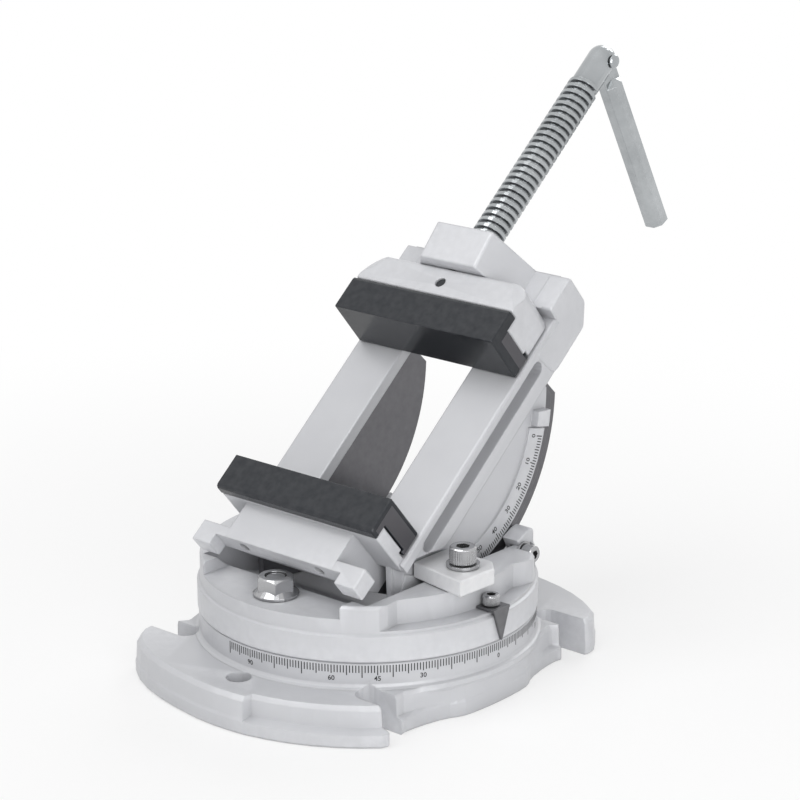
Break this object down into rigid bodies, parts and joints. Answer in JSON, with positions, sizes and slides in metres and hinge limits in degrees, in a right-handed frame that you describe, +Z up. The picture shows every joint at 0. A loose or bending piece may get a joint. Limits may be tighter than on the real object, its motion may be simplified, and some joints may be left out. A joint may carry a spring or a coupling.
{
  "type": "tilting machine vise",
  "caption": "Tilting and swivelling machine vise with slotted round-eared base, quadrants, dark jaw plates, lead screw and drop handle.",
  "frame": {"origin": "on the ground plane, at the swivel axis, the centre of the base's underside", "axes": "+Z up along the swivel axis, +X to the right along the jaws and along the tilt axis, +Y towards the moving jaw"},
  "size_m": [0.1684, 0.3433, 0.2776],
  "materials": {
    "cast_silver": "satin silver paint on a casting",
    "ground_face": "ground",
    "black_steel": "black oxide, ground",
    "bright_zinc": "bright zinc plate",
    "dark_plate": "dark satin steel"
  },
  "bodies": {
    "base": {"base_plate": "cast_silver"},
    "swivel_table": {"swivel_table": "cast_silver", "t_bolt_front": "bright_zinc", "t_bolt_rear": "bright_zinc", "flange_nut_front": "bright_zinc", "flange_nut_rear": "bright_zinc", "swivel_pointer": "dark_plate", "swivel_pointer_screw": "bright_zinc", "clamp_strap_left": "ground_face", "clamp_strap_right": "ground_face", "strap_washer_left": "bright_zinc", "strap_washer_right": "bright_zinc", "strap_screw_left": "bright_zinc", "strap_screw_right": "bright_zinc", "tilt_lock_screw": "bright_zinc", "tilt_lock_washer": "bright_zinc"},
    "tilt_body": {"vise_body": "cast_silver", "fixed_jaw_plate": "black_steel"},
    "moving_jaw": {"moving_jaw": "cast_silver", "moving_jaw_plate": "black_steel", "jaw_set_screw": "dark_plate", "retaining_plate": "ground_face", "retaining_screw_left": "bright_zinc", "retaining_screw_right": "bright_zinc"},
    "lead_screw": {"lead_screw": "bright_zinc", "handle_pin": "bright_zinc"},
    "handle": {"drop_handle": "bright_zinc"}
  },
  "joints": [
    {"name": "swivel", "type": "hinge", "parent": "base", "child": "swivel_table", "pos_m": [0, 0, 0.03085], "axis": [0, 0, 1], "continuous": true},
    {"name": "tilt", "type": "hinge", "parent": "swivel_table", "child": "tilt_body", "pos_m": [0, 0, 0.12645], "axis": [1, 0, 0], "range_deg": [-40, 5]},
    {"name": "jaw_slide", "type": "slide", "parent": "tilt_body", "child": "moving_jaw", "axis": [0, 0.766, 0.6428], "range_m": [-0.0917, 0]},
    {"name": "screw_turn", "type": "hinge", "parent": "moving_jaw", "child": "lead_screw", "pos_m": [0, 0.17974, 0.27022], "axis": [0, 0.766, 0.6428], "range_deg": [-8260, 6]},
    {"name": "handle_flop", "type": "hinge", "parent": "lead_screw", "child": "handle", "pos_m": [0, 0.17974, 0.27022], "axis": [1, 0, 0], "range_deg": [-8, 54]}
  ],
  "couplings": [
    {"joint": "screw_turn", "follows": "jaw_slide", "rad_per_m": 1570.8}
  ]
}
